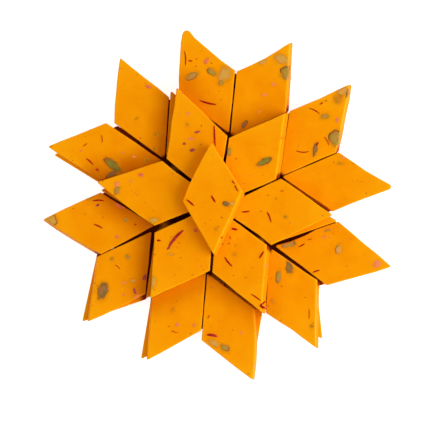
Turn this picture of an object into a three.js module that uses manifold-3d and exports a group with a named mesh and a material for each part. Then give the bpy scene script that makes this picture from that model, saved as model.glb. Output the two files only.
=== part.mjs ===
// A star of kaju katli: saffron cashew sweets, each a flat rhombus cut from a rolled sheet,
// stacked in four tiers. Two tiers of eighteen make the twelve-pointed star, six more lie on
// them as a smaller star, and a single slab crowns the middle. Pistachio slivers, saffron
// threads and rose petals are pressed into the upper faces.
// Millimetres, +Z up, origin on the underside at the middle of the outline.

import * as THREE from "three";
import { mergeVertices } from "three/addons/utils/BufferGeometryUtils.js";
import Module from "manifold-3d";

const wasm = await Module();
wasm.setup();

// ---- Driving dimensions ----------------------------------------------------------------

const THICKNESS = 6;          // a slab, as rolled out
const TIER_GAP = 0.3;         // play between one tier and the next
const CORNER_RADIUS = 0.6;    // the four upright corners of a slab
const EDGE_DROP = 1.1;        // how far the soft upper edge reaches down the wall
const EDGE_INSET = 1.0;       // how far it reaches in over the top
const EDGE_BREAK = 0.3;       // the part of that drop and inset where the edge bends over
const FOOT_INSET = 0.3;       // the lower edge, pressed a little round
const SIDE_WANDER = 0.2;      // how far a knife cut strays from a straight line
const FLECK_PROUD = 0.32;     // how far nuts stand out of the face they are pressed into
const THREAD_PROUD = 0.22;    // and how far the saffron and petals do
const DOME_DEPTH = 0.6;       // how far below the face a fleck's widest part lies
const CLEARANCE = 0.4;        // kept between a fleck and the slabs around it
const WELD = 1e-4;            // points nearer than this are one point

// Cut with the same knife strokes, the hidden slabs of an inner ring are alike.
const BASE_INNER = { reach: 60, side: 33.5, point: 56 };
const SECOND_INNER = { reach: 62, side: 34.5, point: 57 };
const BASE_MARGIN = 0.7;      // a hidden base slab ends this far inside the one above it
const BASE_STAGGER = 3;       // its joint with its pair lies this far from the joint above
const BASE_TUCK = 1.2;        // and it reaches this far under the star

const TIER = { base: 0, second: 1, star: 2, crown: 3 };
const tierFloor = (tier) => tier * (THICKNESS + TIER_GAP);

const MATERIALS = {
  katli: new THREE.MeshStandardMaterial({ color: 0xf99a05, roughness: 0.55, metalness: 0 }),
};

// ---- The slabs as they lie -------------------------------------------------------------
// tip      where the rounded outer tip ends, from the middle of the star
// heading  which way the tip points, in degrees counter-clockwise from +X
// point    the angle at the tip
// left     side from the tip to the corner on the left, seen along the heading
// right    the other side from the tip
// heel     how far the inner sharp corner lies from where a true rhombus would have it
// leanLeft, leanRight   how far that wall's foot stands out past its upper edge; where it is
//          negative the opposite wall's foot does
// blunt    radius of the tip, where it is more worn than the other corners
// bow      how far each side bulges, from the left of the tip round to its right

const SECOND_OUTER = [
  { tip: [-55.5, 84], heading: 113, point: 57, left: 37, right: 35.5, heel: [1.1, 1.1],
    bow: [0.5, 0, 0, 0] },
  { tip: [-18.7, 100.3], heading: 113, point: 56, left: 38, right: 37, heel: [-0.2, 2],
    blunt: 2.6, bow: [0.7, 0, 0, -1] },
  { tip: [43, 93.5], heading: 57.5, point: 59, left: 36.5, right: 39.5, heel: [-1.6, 1.6],
    leanRight: 2.4, bow: [-1, 0, 0, 0.2] },
  { tip: [76.8, 69.3], heading: 51.5, point: 56, left: 39, right: 39, heel: [1.5, 1],
    leanRight: 2.6, blunt: 1, bow: [-0.4, 0, 0, 0.3] },
  { tip: [99.6, 10.4], heading: 354.5, point: 56, left: 36.2, right: 36.5, heel: [0.9, -0.1],
    blunt: 1.6, bow: [-0.6, 0, 0, -0.4] },
  { tip: [99, -35], heading: 348, point: 57, left: 42.8, right: 38, heel: [2.7, -5.3],
    bow: [0.2, -1.9, 0, 0.2] },
  { tip: [57.8, -82.2], heading: 297, point: 57, left: 38.3, right: 37, heel: [0.9, -0.8],
    leanLeft: 2.6, bow: [-0.4, 0, 0, -0.5] },
  { tip: [21, -100.2], heading: 295.5, point: 54, left: 40.4, right: 38.2, heel: [2.2, -1.9],
    leanLeft: 1.6, bow: [1.1, 0, 0, 0.1] },
  { tip: [-40.5, -88.5], heading: 237.5, point: 58, left: 35.5, right: 35.5,
    heel: [0.6, -1.4], leanRight: 0.8 },
  { tip: [-74.5, -66.5], heading: 234, point: 57, left: 37, right: 37, heel: [-1.2, -1],
    leanRight: 1.2, bow: [0.4, 0, 0, 0] },
  { tip: [-100, -8.5], heading: 176.5, point: 58, left: 37.7, right: 37, heel: [-1, 1.4],
    leanLeft: 2, bow: [0.5, 0, 0, 0.2] },
  { tip: [-96.5, 33.5], heading: 174.5, point: 56, left: 35, right: 35.5, heel: [4.5, -3.4] },
];

// Base slabs that show past the slab on top of them, by their place in the ring above.
const BASE_SHOWING = {
  6: { tip: [60, -76.3], heading: 304, point: 57, left: 33, right: 36 },
  7: { tip: [19.5, -98.5], heading: 291.5, point: 62, left: 38.8, right: 35.5 },
  8: { tip: [-43.7, -88], heading: 233.5, point: 55, left: 39.3, right: 34 },
  9: { tip: [-77.5, -66.5], heading: 228.5, point: 59, left: 38.5, right: 39.5 },
  11: { tip: [-93.5, 29], heading: 176.5, point: 57, left: 32, right: 39.7 },
};

const STAR = [
  { tip: [-23, 66.5], heading: 109, point: 55, left: 40.5, right: 39.5, heel: [0, 4] },
  { tip: [40.5, 53], heading: 53, point: 59, left: 37.2, right: 37.5, leanRight: 3 },
  { tip: [65, -5.5], heading: 355.5, point: 62, left: 35.5, right: 38.5, heel: [-2, 0.3],
    bow: [0, 0, -0.9, 0] },
  { tip: [27, -62], heading: 293.5, point: 56, left: 38, right: 38.5, heel: [0, -1],
    leanLeft: 3 },
  { tip: [-38, -52.5], heading: 235.5, point: 62, left: 37, right: 37 },
  { tip: [-68, 13], heading: 170.5, point: 56, left: 40.5, right: 38.5, heel: [0, 2.2],
    bow: [0.7, 0, -0.8, 0] },
];

// Second-tier slabs that show at the edge of the star slab on top of them.
const SECOND_SHOWING = {
  0: { tip: [-26.5, 65], heading: 112, point: 53, left: 36, right: 36 },
  2: { tip: [68, -9], heading: 354.5, point: 50, left: 33, right: 35 },
  4: { tip: [-40.5, -52.8], heading: 235.5, point: 54, left: 35, right: 35 },
  5: { tip: [-66.2, 8.6], heading: 175, point: 54, left: 35, right: 35 },
};

const CROWN = { tip: [-3.5, 35], heading: 93.5, point: 60, left: 36.5, right: 34.5,
  heel: [-0.25, -3.4], leanLeft: -2.8, bow: [0.9, 0, 0, 0] };

// ---- Small helpers ---------------------------------------------------------------------

const radians = (degrees) => (degrees * Math.PI) / 180;
const toward = (degrees, length = 1) =>
  new THREE.Vector2(length * Math.cos(radians(degrees)), length * Math.sin(radians(degrees)));

// A seeded draw, so that every build strays from true in the same way.
function seededDraw(seed) {
  let state = (seed * 2654435761) >>> 0;
  return () => {
    state = (state * 1664525 + 1013904223) >>> 0;
    return state / 4294967296;
  };
}

// ---- From a laid slab to its outline ---------------------------------------------------

// The four corners in counter-clockwise order: tip, left, heel, right.
function planCorners({ tip, heading, point, left, right, heel = [0, 0], blunt = CORNER_RADIUS }) {
  const outer = new THREE.Vector2(...tip);
  const leftSide = toward(heading + 180 - point / 2, left);
  const rightSide = toward(heading + 180 + point / 2, right);
  const inner = outer.clone().add(leftSide).add(rightSide).add(new THREE.Vector2(...heel));
  const wornOff = blunt / Math.sin(radians(point / 2)) - blunt;
  const sharp = outer.clone().add(toward(heading, wornOff));
  return [sharp, outer.clone().add(leftSide), inner, outer.clone().add(rightSide)];
}

// A leaning cut moves the foot of the slab along its other pair of sides. Seen from above the
// slab keeps its plan, so the top and the foot each give up one margin of it.
function topAndFoot(slab) {
  const corners = planCorners(slab);
  const [tip, left, heel, right] = corners;
  const { leanLeft = 0, leanRight = 0 } = slab;
  const inwardFromLeft = right.clone().sub(tip).normalize();
  const inwardFromRight = left.clone().sub(tip).normalize();
  const moved = (corner, fromLeft, fromRight) => corner.clone()
    .addScaledVector(inwardFromLeft, fromLeft)
    .addScaledVector(inwardFromRight, fromRight);
  const shrink = (leftWall, rightWall, heelLeft, heelRight) => [
    moved(tip, leftWall, rightWall),
    moved(left, leftWall, -heelRight),
    moved(heel, -heelLeft, -heelRight),
    moved(right, -heelLeft, rightWall),
  ];
  const out = (lean) => Math.max(lean, 0);
  return {
    top: shrink(out(leanLeft), out(leanRight), out(-leanLeft), out(-leanRight)),
    foot: shrink(out(-leanLeft), out(-leanRight), out(leanLeft), out(leanRight)),
  };
}

// The corners moved in by the same distance from all four sides.
function insetCorners(corners, inset) {
  return corners.map((corner, i) => {
    const before = corners[(i + 3) % 4].clone().sub(corner).normalize();
    const after = corners[(i + 1) % 4].clone().sub(corner).normalize();
    const sine = Math.abs(before.cross(after));
    return corner.clone().addScaledVector(before.add(after), inset / sine);
  });
}

// Points round the outline: an arc at every corner, and between arcs a few points that stray
// a little from the straight side.
function outline(corners, { blunt, bow, arcSteps, sideSteps, seed }) {
  const draw = seededDraw(seed);
  const points = [];
  corners.forEach((corner, i) => {
    const before = corners[(i + 3) % 4].clone().sub(corner).normalize();
    const after = corners[(i + 1) % 4].clone().sub(corner).normalize();
    const halfAngle = before.angleTo(after) / 2;
    const radius = i === 0 ? blunt : CORNER_RADIUS;
    const middle = corner.clone().addScaledVector(
      before.clone().add(after).normalize(), radius / Math.sin(halfAngle));
    const sweep = Math.PI - 2 * halfAngle;
    const start = corner.clone().addScaledVector(before, radius / Math.tan(halfAngle)).sub(middle);
    for (let k = 0; k <= arcSteps; k += 1) {
      points.push(start.clone().rotateAround(new THREE.Vector2(), (sweep * k) / arcSteps).add(middle));
    }
    const next = corners[(i + 1) % 4];
    const along = next.clone().sub(corner);
    const outward = new THREE.Vector2(along.y, -along.x).normalize();
    for (let k = 1; k <= sideSteps; k += 1) {
      const t = k / (sideSteps + 1);
      const stray = SIDE_WANDER * (2 * draw() - 1) + bow[i] * 4 * t * (1 - t);
      points.push(corner.clone().addScaledVector(along, t).addScaledVector(outward, stray));
    }
  });
  return points;
}

// ---- From outlines to a solid ----------------------------------------------------------

// Rings of the same number of points, lowest first, joined by walls and closed by two faces.
function loft(rings) {
  const count = rings[0].points.length;
  const positions = [];
  rings.forEach(({ points, z }) => points.forEach((p) => positions.push(p.x, p.y, z)));
  const indices = [];
  for (let r = 0; r + 1 < rings.length; r += 1) {
    for (let i = 0; i < count; i += 1) {
      const a = r * count + i;
      const b = r * count + ((i + 1) % count);
      indices.push(a, b, b + count, a, b + count, a + count);
    }
  }
  const faceOf = (ring) => THREE.ShapeUtils.triangulateShape(ring.points, []);
  const top = (rings.length - 1) * count;
  faceOf(rings[0]).forEach(([a, b, c]) => indices.push(a, c, b));
  faceOf(rings.at(-1)).forEach(([a, b, c]) => indices.push(a + top, b + top, c + top));
  const geometry = new THREE.BufferGeometry();
  geometry.setAttribute("position", new THREE.Float32BufferAttribute(positions, 3));
  geometry.setIndex(indices);
  return geometry;
}

const STRAIGHT = [0, 0, 0, 0];
const DETAIL = {
  seen: { arcSteps: 3, sideSteps: 3 },
  covered: { arcSteps: 2, sideSteps: 0 },
};

// One slab: its foot, its leaning walls, and a soft edge round its top.
function slabGeometry(slab, tier, detail, seed) {
  const { top, foot } = topAndFoot(slab);
  const floor = tierFloor(tier);
  const at = (height) => foot.map((corner, i) => corner.clone().lerp(top[i], height / THICKNESS));
  const ring = (height, inset) => ({
    z: floor + height,
    points: outline(insetCorners(at(height), inset), {
      ...DETAIL[detail],
      blunt: slab.blunt ?? CORNER_RADIUS,
      bow: slab.bow ?? STRAIGHT,
      seed,
    }),
  });
  const softEdge = [
    ring(THICKNESS - EDGE_DROP, 0),
    ring(THICKNESS - EDGE_DROP * EDGE_BREAK, EDGE_INSET * EDGE_BREAK),
    ring(THICKNESS, EDGE_INSET),
  ];
  const plainEdge = [ring(THICKNESS - EDGE_DROP / 2, 0), ring(THICKNESS, EDGE_INSET / 2)];
  return loft([
    ring(0, FOOT_INSET),
    ring(FOOT_INSET, 0),
    ...(detail === "seen" ? softEdge : plainEdge),
  ]);
}

// The plain prism of a slab, grown or shrunk, for keeping flecks off its neighbours.
function prism(slab, tier, grow) {
  const corners = insetCorners(planCorners(slab), -grow);
  const below = tierFloor(tier) - grow;
  const above = tierFloor(tier) + THICKNESS + Math.abs(grow);
  return loft([{ points: corners, z: below }, { points: corners, z: above }]);
}

// ---- Solids that can be joined and cut -------------------------------------------------

function toSolid(geometry) {
  const bare = new THREE.BufferGeometry();
  bare.setAttribute("position", geometry.getAttribute("position"));
  bare.setIndex(geometry.getIndex());
  const merged = mergeVertices(bare, WELD);
  return new wasm.Manifold(new wasm.Mesh({
    numProp: 3,
    vertProperties: new Float32Array(merged.getAttribute("position").array),
    triVerts: new Uint32Array(merged.getIndex().array),
  }));
}

function toGeometry(solid) {
  const { vertProperties, triVerts } = solid.getMesh();
  const geometry = new THREE.BufferGeometry();
  geometry.setAttribute("position", new THREE.BufferAttribute(new Float32Array(vertProperties), 3));
  geometry.setIndex(new THREE.BufferAttribute(new Uint32Array(triVerts), 1));
  geometry.computeVertexNormals();
  return geometry;
}

// ---- Flecks pressed into the faces -----------------------------------------------------
// at    middle, from the middle of the star;  size  length and width;  turn  degrees from +X

// sides and rings set how finely a fleck is faceted.

const SIDES = { nut: 7, thread: 5, bite: 8 };
const RINGS = 4;
const nut = (at, size, turn) => ({ at, size, turn, proud: FLECK_PROUD, sides: SIDES.nut });
const thread = (at, size, turn) => ({ at, size, turn, proud: THREAD_PROUD, sides: SIDES.thread });
const bite = (at, size, turn) => ({ at, size, turn, sides: SIDES.bite });

const OUTER_FLECKS = {
  1: [nut([-14, 74], [8, 3.6], 25), nut([-3.4, 75.6], [5.6, 3.4], -25),
    nut([3.2, 73.6], [9.5, 7], 60), thread([-6.2, 82.4], [4.6, 2.4], 45),
    thread([-5.4, 58.3], [8.6, 0.8], -12), thread([-18.6, 83.6], [8, 0.7], -86)],
  2: [nut([33, 83.2], [9, 5.6], -22), nut([39.6, 75.6], [7, 4.6], 62),
    nut([25.4, 81.6], [4.6, 2.6], 28), nut([15.6, 47], [4, 2.6], 60),
    thread([31.6, 68.6], [4.4, 1.8], -30)],
  3: [nut([70.8, 64.6], [5.4, 2.8], -10), nut([61.2, 50.8], [5.6, 3.2], 8),
    nut([55.4, 31.2], [7.6, 2.6], 80), nut([67.8, 37], [8.4, 6], 50),
    thread([55.2, 54], [6.8, 0.8], -27), thread([48.6, 31], [7.4, 0.8], -2),
    thread([62.6, 36.4], [5.6, 0.8], -61)],
  4: [thread([70.2, 23.6], [4, 1.2], -3), thread([78, 24.4], [3.4, 1.6], 0)],
  5: [nut([43.4, -22.2], [8, 4.4], 14), nut([69, -26], [6, 4], 75),
    nut([62, -15], [3.4, 2.6], 20), thread([90.8, -33.6], [5, 3], 60),
    thread([56.4, -38.2], [4.2, 0.8], 20), thread([49.6, -22.2], [5.6, 0.8], 24)],
  6: [nut([34.8, -41], [7.4, 2.6], 84), nut([41.2, -36.2], [7.6, 4], -86),
    thread([52.2, -62], [5.6, 0.8], 90), thread([31.4, -55], [3, 1.6], -60)],
  7: [nut([2.2, -81.6], [11, 3.6], -24), thread([-3.2, -74.6], [5, 1.6], -8)],
  8: [thread([-23, -68.2], [2.4, 1.6], 30), thread([-25.4, -59.8], [3, 1.2], 20)],
  9: [nut([-65.8, -49], [10.4, 7], 75), nut([-60.2, -30.8], [4.4, 3], 10),
    nut([-51.6, -29.8], [4, 3], 30), thread([-41.8, -41.4], [4, 2.6], 75),
    thread([-47.6, -48.8], [4.6, 1.6], 60)],
  10: [nut([-93.4, -8.8], [7, 5.4], 80), nut([-52.4, -8.8], [3.4, 2.6], 40),
    thread([-68, -11.8], [5.2, 0.9], -25), thread([-68.2, 2.4], [5.8, 1], 2)],
  11: [nut([-59.4, 22.6], [13.6, 4.4], -40), nut([-60, 16.8], [6.6, 4], 40),
    thread([-73, 25], [5.6, 0.9], -43), thread([-68.8, 20.2], [3, 1.8], -35)],
};

const STAR_FLECKS = {
  0: [thread([-1.6, 39.8], [11.4, 0.9], -87), thread([-19.4, 34.6], [3.4, 1.8], 30),
    thread([-14.2, 31], [3.6, 1.9], 12), thread([-11.8, 41.4], [3.6, 1.6], 28)],
  1: [nut([6.6, 30.4], [4.4, 2.8], 80), nut([26.2, 24.8], [8.6, 3.4], 27)],
  2: [thread([16, -3.6], [4.8, 0.9], 5), thread([29.4, -6.6], [6, 0.8], -70)],
  3: [thread([9.6, -13.6], [3, 1], -6), thread([6.2, -32.2], [6.4, 0.9], -50),
    thread([25.2, -28.4], [4.2, 0.9], 56), thread([21.8, -52.6], [6.4, 0.9], -33),
    thread([25.8, -58.4], [4, 1.6], -38), thread([7.4, -25], [3, 1.2], 60)],
  4: [nut([-36.6, -43.6], [6.8, 3], 86), thread([-23.6, -19.2], [12.6, 1.5], 48)],
  5: [nut([-57.2, 9.6], [7, 3.2], 78), nut([-36.4, -8.4], [6, 3], 8),
    thread([-43.6, 17], [3, 1.8], 0)],
};

const CROWN_FLECKS = [nut([5, 0.6], [4.6, 3.6], -30), thread([-14.6, 1.4], [4.4, 0.8], -50),
  thread([-2.4, 3.4], [4, 0.8], -58), thread([10, 11], [6.6, 0.9], -59)];

// Worn places: a bite out of an edge, given like a fleck.
const OUTER_CHIPS = {
  1: [bite([-9, 94.4], [5, 1.6], -45)],
  5: [bite([95.3, -30], [2, 2], 40)],
};

function ellipsoid({ at, size, turn, sides }, height, z) {
  const geometry = new THREE.SphereGeometry(1, sides, RINGS);
  geometry.deleteAttribute("normal");
  geometry.deleteAttribute("uv");
  geometry.rotateX(Math.PI / 2);
  geometry.scale(size[0] / 2, size[1] / 2, height);
  geometry.rotateZ(radians(turn));
  geometry.translate(at[0], at[1], z);
  return mergeVertices(geometry, WELD);
}

// A fleck is a low dome whose middle is under the face; what would reach past its own slab or
// come near a slab above is cut away before it is joined on.
function pressFlecks(solid, slab, tier, flecks, slabsAbove) {
  const face = tierFloor(tier) + THICKNESS;
  const own = toSolid(prism(slab, tier, -EDGE_INSET));
  return flecks.reduce((body, fleck) => {
    const dome = toSolid(ellipsoid(fleck, fleck.proud + DOME_DEPTH, face - DOME_DEPTH));
    const kept = slabsAbove.reduce((rest, above) => rest.subtract(above), dome.intersect(own));
    return kept.isEmpty() ? body : body.add(kept);
  }, solid);
}

function breakChips(solid, tier, chips) {
  const middle = tierFloor(tier) + THICKNESS / 2;
  return chips.reduce((body, chip) =>
    body.subtract(toSolid(ellipsoid(chip, THICKNESS, middle))), solid);
}

// Where slabs of one tier would meet, the later one is cut back and loses any loose corner.
function cutClear(solid, tier, others) {
  const cut = others.reduce((body, other) =>
    body.subtract(toSolid(prism(other, tier, CLEARANCE))), solid);
  return cut.decompose().reduce((most, piece) => (piece.volume() > most.volume() ? piece : most));
}

// ---- The whole stack -------------------------------------------------------------------

// A hidden base slab repeats the one above it with its outer sides a little further in. The
// two slabs of a notch meet under the right one of the pair above, so that no joint runs
// right through.
function coveredBy(slab, isLeftOfPair) {
  const { tip, heading, point, left, right, heel } = slab;
  const inward = toward(heading + 180, BASE_MARGIN / Math.sin(radians(point / 2)));
  const reach = isLeftOfPair ? [BASE_TUCK, BASE_STAGGER] : [-BASE_STAGGER, BASE_TUCK];
  return { tip: [tip[0] + inward.x, tip[1] + inward.y], heading, point,
    left: left - BASE_MARGIN + reach[0], right: right - BASE_MARGIN + reach[1], heel };
}

function innerSlab(heading, { reach, side, point }) {
  const tip = toward(heading, reach);
  return { tip: [tip.x, tip.y], heading, point, left: side, right: side };
}

// Halfway between two neighbours' headings, in degrees.
function between(slab, nextSlab) {
  const turn = ((nextSlab.heading - slab.heading) % 360 + 360) % 360 - 360;
  return slab.heading + turn / 2;
}

const number = (i) => String(i + 1).padStart(2, "0");

function layOut() {
  const baseOuter = SECOND_OUTER.map((slab, i) => BASE_SHOWING[i] ?? coveredBy(slab, i % 2 === 1));
  const baseInner = STAR.map((slab, i) => innerSlab(between(slab, STAR[(i + 1) % 6]), BASE_INNER));
  const secondInner = STAR.map((slab, i) =>
    SECOND_SHOWING[i] ?? innerSlab(slab.heading, SECOND_INNER));
  const pile = [];
  const lay = (slabs, tier, name, detail, more = () => ({})) => slabs.forEach((slab, i) => {
    pile.push({ name: name(i), slab, tier, detail, ...more(i) });
  });
  lay(baseOuter, TIER.base, (i) => `base_outer_${number(i)}`, "covered",
    (i) => ({ makesRoomFor: [...baseInner, ...baseOuter.slice(0, i)] }));
  lay(baseInner, TIER.base, (i) => `base_inner_${number(i)}`, "covered");
  lay(SECOND_OUTER, TIER.second, (i) => `outer_${number(i)}`, "seen",
    (i) => ({ flecks: OUTER_FLECKS[i], chips: OUTER_CHIPS[i], makesRoomFor: secondInner }));
  lay(secondInner, TIER.second, (i) => `inner_${number(i)}`, "covered");
  lay(STAR, TIER.star, (i) => `star_${number(i)}`, "seen",
    (i) => ({ flecks: STAR_FLECKS[i], makesRoomFor: STAR.slice(0, i) }));
  lay([CROWN], TIER.crown, () => "crown", "seen", () => ({ flecks: CROWN_FLECKS }));
  return pile;
}

// The finished slab in a frame of its own, under its middle and turned to its heading, and
// the mesh placed where the slab lies in its tier.
function placeSlab(solid, { name, slab, tier }) {
  const corners = planCorners(slab);
  const middle = corners[0].clone().add(corners[2]).multiplyScalar(0.5);
  const geometry = toGeometry(solid);
  geometry.translate(-middle.x, -middle.y, -tierFloor(tier));
  geometry.rotateZ(-radians(slab.heading));
  const mesh = new THREE.Mesh(geometry, MATERIALS.katli);
  mesh.name = name;
  mesh.position.set(middle.x, middle.y, 0);
  mesh.rotation.z = radians(slab.heading);
  return mesh;
}

const pile = layOut();
const star = new THREE.Group();
star.name = "kaju_katli_star";

const tierGroups = Object.entries(TIER).map(([name, tier]) => {
  const group = new THREE.Group();
  group.name = `${name}_tier`;
  group.position.z = tierFloor(tier);
  star.add(group);
  return group;
});

pile.forEach((entry, seed) => {
  const { slab, tier, detail, flecks = [], chips = [], makesRoomFor = [] } = entry;
  const slabsAbove = pile.filter((other) => other.tier === tier + 1)
    .map((other) => toSolid(prism(other.slab, other.tier, CLEARANCE)));
  let solid = toSolid(slabGeometry(slab, tier, detail, seed + 1));
  solid = pressFlecks(solid, slab, tier, flecks, slabsAbove);
  solid = breakChips(solid, tier, chips);
  solid = cutClear(solid, tier, makesRoomFor);
  tierGroups[tier].add(placeSlab(solid, entry));
});

// The origin goes under the middle of the stack's outline.
const bounds = new THREE.Box3().setFromObject(star, true);
const centre = bounds.getCenter(new THREE.Vector3());
star.position.set(-centre.x, -centre.y, -bounds.min.z);

const part = new THREE.Group();
part.add(star);

export default part;
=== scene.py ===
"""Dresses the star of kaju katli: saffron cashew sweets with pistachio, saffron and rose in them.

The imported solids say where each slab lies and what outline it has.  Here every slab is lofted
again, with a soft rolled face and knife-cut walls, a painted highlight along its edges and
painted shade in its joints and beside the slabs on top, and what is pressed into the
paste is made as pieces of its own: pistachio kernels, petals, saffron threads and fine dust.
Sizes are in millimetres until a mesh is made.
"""

import logging
import math
from collections.abc import Callable, Iterable
from dataclasses import dataclass, field
from enum import Enum
from functools import partial

import bpy
import numpy as np
from bpy.types import Material, Mesh, Node, NodeSocket, NodeTree, Object
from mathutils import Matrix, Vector, noise


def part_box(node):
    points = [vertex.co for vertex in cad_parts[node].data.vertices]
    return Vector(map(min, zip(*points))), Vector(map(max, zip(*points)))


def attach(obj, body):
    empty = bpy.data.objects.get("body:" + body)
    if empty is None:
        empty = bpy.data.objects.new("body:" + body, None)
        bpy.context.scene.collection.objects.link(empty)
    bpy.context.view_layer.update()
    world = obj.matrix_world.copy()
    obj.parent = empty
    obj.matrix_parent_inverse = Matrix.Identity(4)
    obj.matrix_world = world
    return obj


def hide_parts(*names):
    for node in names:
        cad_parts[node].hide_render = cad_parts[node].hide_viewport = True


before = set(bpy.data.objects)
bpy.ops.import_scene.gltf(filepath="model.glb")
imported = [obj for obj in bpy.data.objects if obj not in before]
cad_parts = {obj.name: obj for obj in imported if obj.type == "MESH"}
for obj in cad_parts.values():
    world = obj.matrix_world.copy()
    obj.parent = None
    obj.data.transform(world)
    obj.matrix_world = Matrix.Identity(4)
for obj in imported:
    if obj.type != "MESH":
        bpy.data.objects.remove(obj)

LOG = logging.getLogger("kaju_katli_star")
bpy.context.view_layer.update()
BODY = "root"
MM = 0.001
FOOD_IOR = 1.46  # of oily nuts and paste

# The sheet that the slabs are cut from.
THICKNESS = 6.0
EDGE_DROP = 0.7  # how far the soft upper edge reaches down the wall
EDGE_INSET = 0.42  # and in over the face
PACKED_DROP = 1.1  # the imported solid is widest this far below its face
FOOT_ROUND = 0.3  # the lower edge, pressed a little round
TIER_STEP = 6.3  # from one tier's floor to the next

Points = np.ndarray  # rows of x, y or of x, y, z
Faces = list[tuple[int, ...]]
Pair = tuple[float, float]
Look = dict[str, object]


# ---- Small helpers ----


def linear(colour: str) -> tuple[float, float, float, float]:
    """Turns an sRGB hex colour such as "#F99A05" into a socket's linear one."""
    shares = [int(colour[i : i + 2], 16) / 255 for i in (1, 3, 5)]
    red, green, blue = (
        share / 12.92 if share <= 0.04045 else ((share + 0.055) / 1.055) ** 2.4
        for share in shares
    )
    return red, green, blue, 1.0


def per_mm(size: float) -> float:
    """The scale of a texture on Object coordinates whose pattern repeats every size mm."""
    return 1 / (size * MM)


def grain(points: Points, lump: float, seed: float) -> Points:
    """Smooth noise from about -1 to 1 at each point.

    Args:
        points: rows of x, y, z or of x, y.
        lump: how far apart the noise's hills are, in mm.
        seed: picks another field of noise.

    Returns:
        One value a point.
    """
    flat = np.zeros((len(points), 3))
    flat[:, : points.shape[1]] = points
    flat = flat / lump + seed * 17.31
    return np.array([noise.noise(tuple(row)) for row in flat])


def smooth(values: Points, low: float, high: float) -> Points:
    """Rises smoothly from 0 at low to 1 at high."""
    share = np.clip((values - low) / (high - low), 0, 1)
    return share * share * (3 - 2 * share)


def radius_of(points: Points) -> Points:
    """How far each point lies from the star's axis."""
    return np.hypot(*points[:, :2].T)


def cross(a: Points, b: Points) -> Points:
    """The cross product of rows of plane vectors."""
    return a[..., 0] * b[..., 1] - a[..., 1] * b[..., 0]


def fan_of(angles: Points) -> Points:
    """Unit vectors at the given angles."""
    return np.column_stack([np.cos(angles), np.sin(angles)])


def add_node(tree: NodeTree, kind: str, inputs: dict | None = None, **settings: object):
    """Adds a node with its settings, constants and links.

    Args:
        tree: the shader or geometry tree.
        kind: the node's type name.
        inputs: for each socket, by name or place, a constant, or what it is linked from: an
            output, or a node for its first output.
        settings: the node's own properties.

    Returns:
        The node.
    """
    node = tree.nodes.new(kind)
    for name, value in settings.items():
        setattr(node, name, value)
    for key, value in (inputs or {}).items():
        if isinstance(value, Node):
            value = value.outputs[0]
        if isinstance(value, NodeSocket):
            tree.links.new(value, node.inputs[key])
        else:
            node.inputs[key].default_value = value
    return node


def new_material(name: str) -> tuple[Material, Callable]:
    """Starts an empty material, and gives add_node for its tree."""
    made = bpy.data.materials.new(name)
    made.use_nodes = True
    made.node_tree.nodes.clear()
    return made, partial(add_node, made.node_tree)


def layered(node: Callable, colour: object, layers: Iterable) -> object:
    """Mixes colours over a first one, each by its share, and gives the output."""
    for share, layer in layers:
        mixed = {"Factor": share, 6: colour, 7: linear(layer)}
        colour = node("ShaderNodeMix", mixed, data_type="RGBA").outputs[2]
    return colour


def end_material(
    node: Callable, colour: object, roughness: object, height: object, bump: Pair, look: Look
) -> None:
    """Ends a food's material with its relief, its shader and the output.

    Args:
        node: adds a node to the material's tree.
        colour: the output that gives the colour.
        roughness: the roughness, or the node that gives it.
        height: the node whose pattern stands out.
        bump: how strongly, and how far in mm.
        look: the shader's other inputs.
    """
    relief = {"Height": height, "Strength": bump[0], "Distance": bump[1] * MM}
    base = {"Base Color": colour, "Roughness": roughness, "Normal": node("ShaderNodeBump", relief)}
    shader = node("ShaderNodeBsdfPrincipled", {**base, "IOR": FOOD_IOR, **look})
    node("ShaderNodeOutputMaterial", {"Surface": shader})


def loft(rings: list[Points], bottom: Points, top: Points) -> tuple[Points, Faces]:
    """Joins rings of the same number of points and closes both ends on a point.

    Args:
        rings: counter-clockwise seen from the top end, from the bottom end up.
        bottom: the point that closes the bottom.
        top: the point that closes the top.

    Returns:
        The points, bottom first and top last, and the faces, which point outwards.
    """
    around = len(rings[0])
    last = 1 + around * len(rings)
    faces: Faces = []
    for i in range(around):
        j = (i + 1) % around
        faces.append((0, 1 + j, 1 + i))
        for start in range(1, last - around, around):
            faces.append((start + i, start + j, start + around + j, start + around + i))
        faces.append((last - around + i, last - around + j, last))
    return np.vstack([bottom[None], *rings, top[None]]), faces


class Shells:
    """Closed shells gathered into one mesh, with a value per point for its material."""

    def __init__(self) -> None:
        """Starts with nothing in it."""
        self.points: list[Points] = []
        self.faces: Faces = []
        self.values: dict[str, list[Points]] = {}
        self.count = 0

    def add(self, points: Points, faces: Faces, **values: Points) -> None:
        """Adds a shell: points in mm, faces numbered from its first, and values of the points."""
        self.points.append(points)
        self.faces += [tuple(index + self.count for index in face) for face in faces]
        for name, numbers in values.items():
            self.values.setdefault(name, []).append(numbers)
        self.count += len(points)

    def make(self, name: str, material: Material | None = None) -> Object:
        """Makes the mesh and its object, in metres, at the origin."""
        mesh = bpy.data.meshes.new(name)
        mesh.from_pydata((np.vstack(self.points) * MM).tolist(), [], self.faces)
        for value, numbers in self.values.items():
            layer = mesh.attributes.new(value, "FLOAT", "POINT")
            layer.data.foreach_set("value", np.concatenate(numbers).astype(np.float32))
        mesh.shade_smooth()
        return put(name, mesh, material)


def put(name: str, mesh: Mesh, material: Material | None) -> Object:
    """Links a mesh into the scene as an object, with a finish unless it keeps its own."""
    if material is not None:
        mesh.materials.clear()
        mesh.materials.append(material)
    made = bpy.data.objects.new(name, mesh)
    bpy.context.scene.collection.objects.link(made)
    return made


def carry(piece: Object) -> None:
    """Lets a piece ride with the stack and logs how many faces it has."""
    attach(piece, BODY)
    LOG.info("%s: %d faces", piece.name, len(piece.data.polygons))


# ---- Finishes ----


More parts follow.
